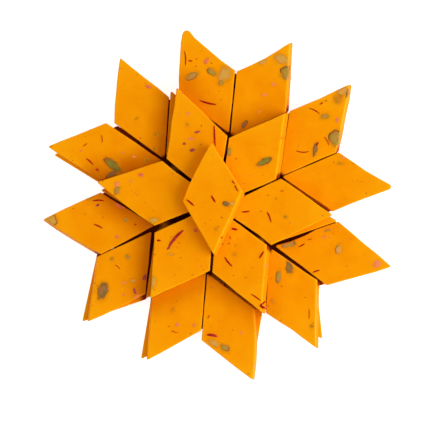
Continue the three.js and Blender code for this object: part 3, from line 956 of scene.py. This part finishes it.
    @staticmethod
    def _stain(points: Points, flecks: tuple[Fleck, ...]) -> Points:
        """How much the paste is darkened by what lies in it, next to each fleck."""
        stain = np.zeros(len(points))
        for fleck in flecks:
            turn = math.radians(fleck.turn)
            offset = points[:, :2] - fleck.at
            turned = offset @ np.array(
                [[math.cos(turn), -math.sin(turn)], [math.sin(turn), math.cos(turn)]]
            )
            span = np.hypot(*(turned / (np.array(fleck.size) / 2 + 0.55)).T)
            depth = 0.42 if fleck.tone.value.slot == "pistachio" else 0.15
            stain = np.maximum(stain, depth * smooth(span, 1.3, 0.75))
        return stain * (0.6 + 0.8 * grain(points, 2.4, 0.3))

    def _open(self, points: Points, neighbours: list["Slab"]) -> Points:
        """1 where the slab's surface is open to the air, and 0 where another slab is near."""
        face = points[:, 2] > self.floor + THICKNESS - EDGE_DROP
        open_air = points[:, 2] > self.floor + 1.4
        for other in neighbours:
            if other.tier == self.tier + 1:
                open_air &= ~(face & (other.beside(points) > -0.6))
            if other.tier == self.tier:
                open_air &= face | (other.beside(points) <= -3.0)
        return open_air.astype(float)


@dataclass
class Stack:
    """All the slabs in their tiers."""

    slabs: dict[str, Slab] = field(default_factory=dict)

    def measure(self) -> None:
        """Reads every slab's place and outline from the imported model."""
        for seed, node in enumerate(sorted(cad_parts)):
            covered = node.startswith(("base", "inner"))
            self.slabs[node] = Slab(node, seed, COVERED if covered else SEEN)

    def build(self) -> Shells:
        """Makes every slab's piece, and gives all their surfaces to scatter the dust on."""
        paste = CashewPaste().material()
        carrier = Shells()
        for node, slab in self.slabs.items():
            others = [other for other in self.slabs.values() if other is not slab]
            points, faces, values = slab.shell(others, FLECKS.get(node, ()))
            shell = Shells()
            shell.add(points, faces, **values)
            piece = shell.make(f"katli_{node}", paste)
            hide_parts(node)
            carry(piece)
            carrier.add(points, faces, open=values["open"])
        return carrier


# ---- What is pressed into the faces ----


@dataclass
class PressedFlecks:
    """Kernels, petals and bits rolled flush into the faces, one piece for each look."""

    stack: Stack
    around: int = 40
    rings: tuple[float, ...] = (1.0, 0.94, 0.86, 0.76, 0.64, 0.5, 0.36, 0.2)
    swell: float = 1.1  # rolling spreads them a little
    facets: int = 6  # a chopped kernel's broken sides
    sink: float = 0.5  # how deep the underside lies in the paste, in mm
    margin: float = 0.3  # a cut fleck ends this far inside the slab's outline
    wall_reach: float = 2.0  # and down a leaning wall it ends at this height
    wall_lift: float = 0.4  # its middle stands this much further out there
    ragged: float = 0.16

    def build(self) -> None:
        """Makes the pieces."""
        gathered = {tone: Shells() for tone in Tone}
        for node, flecks in FLECKS.items():
            for place, fleck in enumerate(flecks):
                points, faces, values = self._shell(self.stack.slabs[node], fleck, place)
                gathered[fleck.tone].add(points, faces, **values)
        for tone, shells in gathered.items():
            finish: PressedFinish = tone.value
            carry(shells.make(finish.name, finish.material()))

    def _rim(self, slab: Slab, fleck: Fleck, seed: float) -> tuple[Points, Points]:
        """The angles and offsets of a fleck's ragged outline, cut off where the slab was cut."""
        angles = np.linspace(0, 2 * math.pi, self.around, endpoint=False)
        draw = np.random.default_rng(round(seed * 100))
        facing = np.arange(self.facets) + draw.uniform(-0.3, 0.3, self.facets)
        away = np.cos(angles[:, None] - facing * 2 * math.pi / self.facets)
        sides = draw.uniform(0.8, 1.02, self.facets) / np.maximum(away, 0.3)
        circle = fan_of(angles)
        rough = grain(circle * 1.4, 1.0, seed) + 0.6 * grain(circle * 4.0, 1.0, seed + 0.4)
        reach = np.minimum(sides.min(axis=1), 1.08) * (1 + self.ragged * rough) * self.swell
        turn = math.radians(fleck.turn)
        spin = np.array([[math.cos(turn), math.sin(turn)], [-math.sin(turn), math.cos(turn)]])
        offsets = (circle * reach[:, None] * np.array(fleck.size) / 2) @ spin
        face, wall = slab.at(THICKNESS), slab.at(self.wall_reach)
        for _ in range(90):
            rim = fleck.at + offsets
            inside = np.maximum(face.depth(rim), wall.depth(rim))
            offsets[inside < self.margin] *= 0.97
        return angles, offsets

    def _shell(self, slab: Slab, fleck: Fleck, place: int) -> tuple:
        """Makes a fleck, with its number on its slab, as a low closed lens.

        Returns:
            The points, the faces, and the points' values by name.
        """
        seed = slab.seed + place * 0.37 + 0.11
        angles, offsets = self._rim(slab, fleck, seed)
        finish: PressedFinish = fleck.tone.value
        proud = finish.proud * min(1.0, min(fleck.size) / 2.4)

        def ring(share: float, lift: float) -> Points:
            flat = np.array(fleck.at) + offsets * share
            over = slab.at(THICKNESS).depth(flat) < 0
            level = slab.face_at(flat) + lift + self.wall_lift * over * (1 - share) ** 0.5
            return np.column_stack([flat, level])

        rings = [ring(0.8, -self.sink)]
        rings += [ring(share, proud * (1 - share**2.6) - 0.05 * share**10) for share in self.rings]
        for level in rings[2:]:
            level[:, 2] += grain(level, 1.6, seed) * proud * 0.25
        middle = ring(0.0, 0.0)[0]
        points, faces = loft(rings, middle + (0, 0, -self.sink), middle + (0, 0, proud))
        shares = np.concatenate([[1.0], np.repeat((1.0, *self.rings), self.around), [0.0]])
        skin = np.zeros(len(points))
        if fleck.skin is not None:
            side = np.cos(angles + math.radians(fleck.turn - fleck.skin))
            side = np.concatenate([[0.0], *[side] * (len(self.rings) + 1), [0.0]])
            skin = smooth(side, 0.1, 0.7) * smooth(shares, 0.66, 0.9) * 0.8
        return points, faces, {"rim": shares, "skin": skin}


# ---- Geometry trees ----


def new_tree(name: str, inputs: dict[str, str]) -> tuple:
    """Starts a geometry tree.

    Args:
        name: the tree's name.
        inputs: the kind of socket for each named input besides the geometry.

    Returns:
        The tree, add_node for it, and its inputs' outputs.
    """
    tree = bpy.data.node_groups.new(name, "GeometryNodeTree")
    for label, kind in {"Geometry": "Geometry", **inputs}.items():
        tree.interface.new_socket(label, in_out="INPUT", socket_type=f"NodeSocket{kind}")
    tree.interface.new_socket("Geometry", in_out="OUTPUT", socket_type="NodeSocketGeometry")
    return tree, partial(add_node, tree), add_node(tree, "NodeGroupInput").outputs


def end_tree(node: Callable, geometry: Node, finish: NodeSocket) -> None:
    """Ends a geometry tree: makes its instances real and gives them their finish."""
    real = node("GeometryNodeRealizeInstances", {"Geometry": geometry})
    dressed = node("GeometryNodeSetMaterial", {"Geometry": real, "Material": finish})
    node("NodeGroupOutput", {0: dressed})


def run_tree(source: Object, tree: NodeTree, values: Look, name: str) -> Object:
    """Runs a geometry tree on a helper, removes that, and keeps the result as a plain mesh."""
    modifier = source.modifiers.new(tree.name, "NODES")
    modifier.node_group = tree
    for item in tree.interface.items_tree:
        if item.in_out == "INPUT" and item.name in values:
            modifier[item.identifier] = values[item.name]
    graph = bpy.context.evaluated_depsgraph_get()
    mesh = bpy.data.meshes.new_from_object(source.evaluated_get(graph))
    mesh.name = name
    bpy.data.objects.remove(source)
    return put(name, mesh, None)


@dataclass
class SaffronThreads:
    """Threads and thin strips of petal, half sunk in the faces."""

    stack: Stack
    steps: int = 10
    sides: int = 8
    swell: float = 1.15  # wet threads are a little thicker than they look
    spacing: float = 0.4  # between the rings of a thread, in mm
    wobble: float = 0.25

    def build(self) -> None:
        """Makes a piece for each kind of strand."""
        tree = self._tree()
        for number, kind in enumerate(Strand):
            finish: DryFinish = kind.value
            values = {
                "Spacing": self.spacing * MM,
                "Sides": self.sides,
                "Wobble": self.wobble * MM,
                "Seed": float(number),
                "Finish": finish.material(),
            }
            carry(run_tree(self._paths(kind), tree, values, f"threads_{finish.name}"))

    def _paths(self, kind: Strand) -> Object:
        """A helper of the lines that a kind's threads follow, with their half widths."""
        points, edges, widths = [], [], []
        share = np.linspace(0, 1, self.steps)[:, None]
        for node, threads in THREADS.items():
            slab = self.stack.slabs[node]
            for thread in (t for t in threads if t.kind is kind):
                start, end = np.array(thread.start), np.array(thread.end)
                left = np.array([start[1] - end[1], end[0] - start[0]])
                left = left / np.hypot(*left)
                path = start + (end - start) * share + left * thread.bow * 4 * share * (1 - share)
                height = slab.face_at(path) - thread.width * 0.06
                first = len(points)
                points += [(*xy, z) for xy, z in zip(path, height)]
                edges += [(first + i, first + i + 1) for i in range(self.steps - 1)]
                taper = 0.45 + 0.55 * np.sin(math.pi * share[:, 0]) ** 0.6
                widths += list(self.swell * thread.width / 2 * taper)
        mesh = bpy.data.meshes.new("thread_paths")
        mesh.from_pydata((np.array(points) * MM).tolist(), edges, [])
        layer = mesh.attributes.new("half_width", "FLOAT", "POINT")
        layer.data.foreach_set("value", np.array(widths, np.float32) * MM)
        return put("thread_paths", mesh, None)

    @staticmethod
    def _tree() -> NodeTree:
        """Turns lines into round tapering strands that wander a little."""
        kinds = {"Spacing": "Float", "Sides": "Int", "Wobble": "Float", "Seed": "Float"}
        tree, node, given = new_tree("strands", {**kinds, "Finish": "Material"})
        lines = node("GeometryNodeMeshToCurve", {"Mesh": given["Geometry"]})
        spaced = {"Curve": lines, "Length": given["Spacing"]}
        even = node("GeometryNodeResampleCurve", spaced, mode="LENGTH")
        swirl = {"W": given["Seed"], "Scale": per_mm(2.5), "Detail": 1.0}
        sway = node("ShaderNodeTexNoise", swirl, noise_dimensions="4D").outputs["Color"]
        for operation, by in (
            ("SUBTRACT", {1: (0.5, 0.5, 0.5)}),
            ("MULTIPLY", {1: (1.0, 1.0, 0.0)}),
            ("SCALE", {"Scale": given["Wobble"]}),
        ):
            sway = node("ShaderNodeVectorMath", {0: sway, **by}, operation=operation)
        round_section = {"Resolution": given["Sides"], "Radius": 1.0}
        swept = {
            "Curve": node("GeometryNodeSetPosition", {"Geometry": even, "Offset": sway}),
            "Profile Curve": node("GeometryNodeCurvePrimitiveCircle", round_section),
            "Scale": node("GeometryNodeInputNamedAttribute", {"Name": "half_width"}),
            "Fill Caps": True,
        }
        tube = node("GeometryNodeCurveToMesh", swept)
        soft = node("GeometryNodeSetShadeSmooth", {"Geometry": tube})
        end_tree(node, soft, given["Finish"])
        return tree


@dataclass
class ScatteredDust:
    """Fine bits of saffron, nut and petal all over the paste, where it is open to the air."""

    carrier: Shells
    per_square_cm: dict[Dust, float] = field(
        default_factory=lambda: {Dust.SAFFRON: 0.3, Dust.PISTACHIO: 0.1, Dust.PETAL: 0.12}
    )
    size: Pair = (0.2, 0.45)  # half lengths, in mm
    apart: float = 1.2

    def build(self) -> None:
        """Makes a piece for each kind of dust."""
        tree = self._tree()
        for number, (kind, density) in enumerate(self.per_square_cm.items()):
            finish: DryFinish = kind.value
            values = {
                "Density": density / (10 * MM) ** 2,
                "Apart": self.apart * MM,
                "Smallest": self.size[0] * MM,
                "Largest": self.size[1] * MM,
                "Seed": 11 + number,
                "Finish": finish.material(),
            }
            helper = self.carrier.make("dust_carrier")
            carry(run_tree(helper, tree, values, finish.name))

    @staticmethod
    def _tree() -> NodeTree:
        """Scatters flattened grains over the open surface."""
        kinds = dict.fromkeys(("Density", "Apart", "Smallest", "Largest"), "Float")
        tree, node, given = new_tree("dust", {**kinds, "Seed": "Int", "Finish": "Material"})
        scatter = {
            "Mesh": given["Geometry"],
            "Distance Min": given["Apart"],
            "Density Max": given["Density"],
            "Density Factor": node("GeometryNodeInputNamedAttribute", {"Name": "open"}),
            "Seed": given["Seed"],
        }
        spots = node("GeometryNodeDistributePointsOnFaces", scatter, distribute_method="POISSON").outputs
        turn, length = (
            node(
                "FunctionNodeRandomValue",
                {2: least, 3: most, "Seed": given["Seed"]},
                data_type="FLOAT",
            ).outputs[1]
            for least, most in ((0.0, 2 * math.pi), (given["Smallest"], given["Largest"]))
        )
        about = node("FunctionNodeAxisAngleToRotation", {"Axis": (0.0, 0.0, 1.0), "Angle": turn})
        turned = {"Rotation": spots["Rotation"], "Rotate By": about}
        stretch = {0: (1.5, 0.75, 0.35), "Scale": length}
        instances = {
            "Points": spots["Points"],
            "Instance": node("GeometryNodeMeshIcoSphere", {"Radius": 1.0, "Subdivisions": 2}),
            "Rotation": node("FunctionNodeRotateRotation", turned, rotation_space="LOCAL"),
            "Scale": node("ShaderNodeVectorMath", stretch, operation="SCALE"),
        }
        end_tree(node, node("GeometryNodeInstanceOnPoints", instances), given["Finish"])
        return tree


# ---- The studio ----


@dataclass(frozen=True)
class Softbox:
    """A square light that faces the middle of the table."""

    name: str
    azimuth: float  # degrees counter-clockwise from the right
    elevation: float
    distance: float  # in metres
    side: float
    power: float

    def build(self) -> None:
        """Hangs the light."""
        data = bpy.data.lights.new(self.name, "AREA")
        data.size = self.side
        data.energy = self.power
        light = bpy.data.objects.new(self.name, data)
        bpy.context.scene.collection.objects.link(light)
        azimuth, elevation = math.radians(self.azimuth), math.radians(self.elevation)
        ahead = Vector((math.cos(azimuth), math.sin(azimuth), 0)) * math.cos(elevation)
        toward = ahead + Vector((0, 0, math.sin(elevation)))
        light.location = toward * self.distance
        light.rotation_mode = "QUATERNION"
        light.rotation_quaternion = toward.to_track_quat("Z", "Y")
        light.visible_camera = False


@dataclass
class Studio:
    """A white table under wide soft light, looked down on from straight above."""

    softboxes: tuple[Softbox, ...] = (
        Softbox("window_right", -10, 29, 3.0, 2.8, 98.0),
        Softbox("bounce_left", 165, 50, 1.6, 1.2, 2.0),
    )
    sky: str = "#FFFFFF"
    sky_strength: float = 0.53
    table: str = "#C8C8C6"
    painted_shade_under_star: str = "#301408"  # painted shade: the table coloured dark brown between the slabs
    shade: Pair = (64.0, 66.0)  # where that shade ends, from the middle
    table_glow: float = 0.8
    table_radius: float = 6000.0
    camera_height: float = 1100.0
    camera_over: Pair = (3.66, -10.38)
    view_width: float = 255.43  # of the second tier's faces, across the frame
    sensor: float = 36.0

    def build(self) -> None:
        """Sets up the table, the light and the camera."""
        for softbox in self.softboxes:
            softbox.build()
        world = bpy.data.worlds.new("studio")
        world.use_nodes = True
        world.node_tree.nodes.clear()
        even = {"Color": linear(self.sky), "Strength": self.sky_strength}
        sky = add_node(world.node_tree, "ShaderNodeBackground", even)
        add_node(world.node_tree, "ShaderNodeOutputWorld", {"Surface": sky})
        bpy.context.scene.world = world
        bpy.context.scene.view_settings.view_transform = "Standard"
        self._table()
        self._camera()

    def _table(self) -> None:
        """Lays a white table just under the stack, glowing evenly, and painted dark brown as shade under
        the middle.
        """
        rim = fan_of(np.linspace(0, 2 * math.pi, 96, endpoint=False)) * self.table_radius
        points = np.column_stack([rim, np.full(len(rim), -0.05)])
        shell = Shells()
        shell.add(points, [tuple(range(len(rim)))])
        made, node = new_material("white_table")
        place = node("ShaderNodeTexCoord").outputs["Object"]
        away = node("ShaderNodeVectorMath", {0: place}, operation="LENGTH").outputs["Value"]
        # Inside the shade ring the table is painted dark brown as shade and does not glow; outside it
        # glows evenly to read white.
        start, end = (radius * MM for radius in self.shade)
        lit = node("ShaderNodeMapRange", {"Value": away, "From Min": start, "From Max": end})
        glow = node("ShaderNodeMath", {0: lit, 1: self.table_glow}, operation="MULTIPLY")
        look = {
            "Base Color": layered(node, linear(self.painted_shade_under_star), [(lit, self.table)]),
            "Roughness": 0.7,
            "Specular IOR Level": 0.1,
            "Emission Color": (1.0, 1.0, 1.0, 1.0),
            "Emission Strength": glow,
        }
        shader = node("ShaderNodeBsdfPrincipled", look)
        node("ShaderNodeOutputMaterial", {"Surface": shader})
        shell.make("table", made)

    def _camera(self) -> None:
        """Hangs the camera over the star, level with the photograph's edges."""
        data = bpy.data.cameras.new("camera")
        data.sensor_width = self.sensor
        second_face = TIER_STEP + THICKNESS
        data.lens = self.sensor * (self.camera_height - second_face) / self.view_width
        camera = bpy.data.objects.new("camera", data)
        bpy.context.scene.collection.objects.link(camera)
        camera.location = Vector((*self.camera_over, self.camera_height)) * MM
        data.clip_start, data.clip_end = 0.05, 50.0
        bpy.context.scene.camera = camera


def main() -> None:
    """Builds the studio, the slabs and what is pressed into them."""
    logging.basicConfig(level=logging.INFO, format="%(message)s")
    Studio().build()
    stack = Stack()
    stack.measure()
    carrier = stack.build()
    PressedFlecks(stack).build()
    SaffronThreads(stack).build()
    ScatteredDust(carrier).build()


if __name__ == "__main__":
    main()
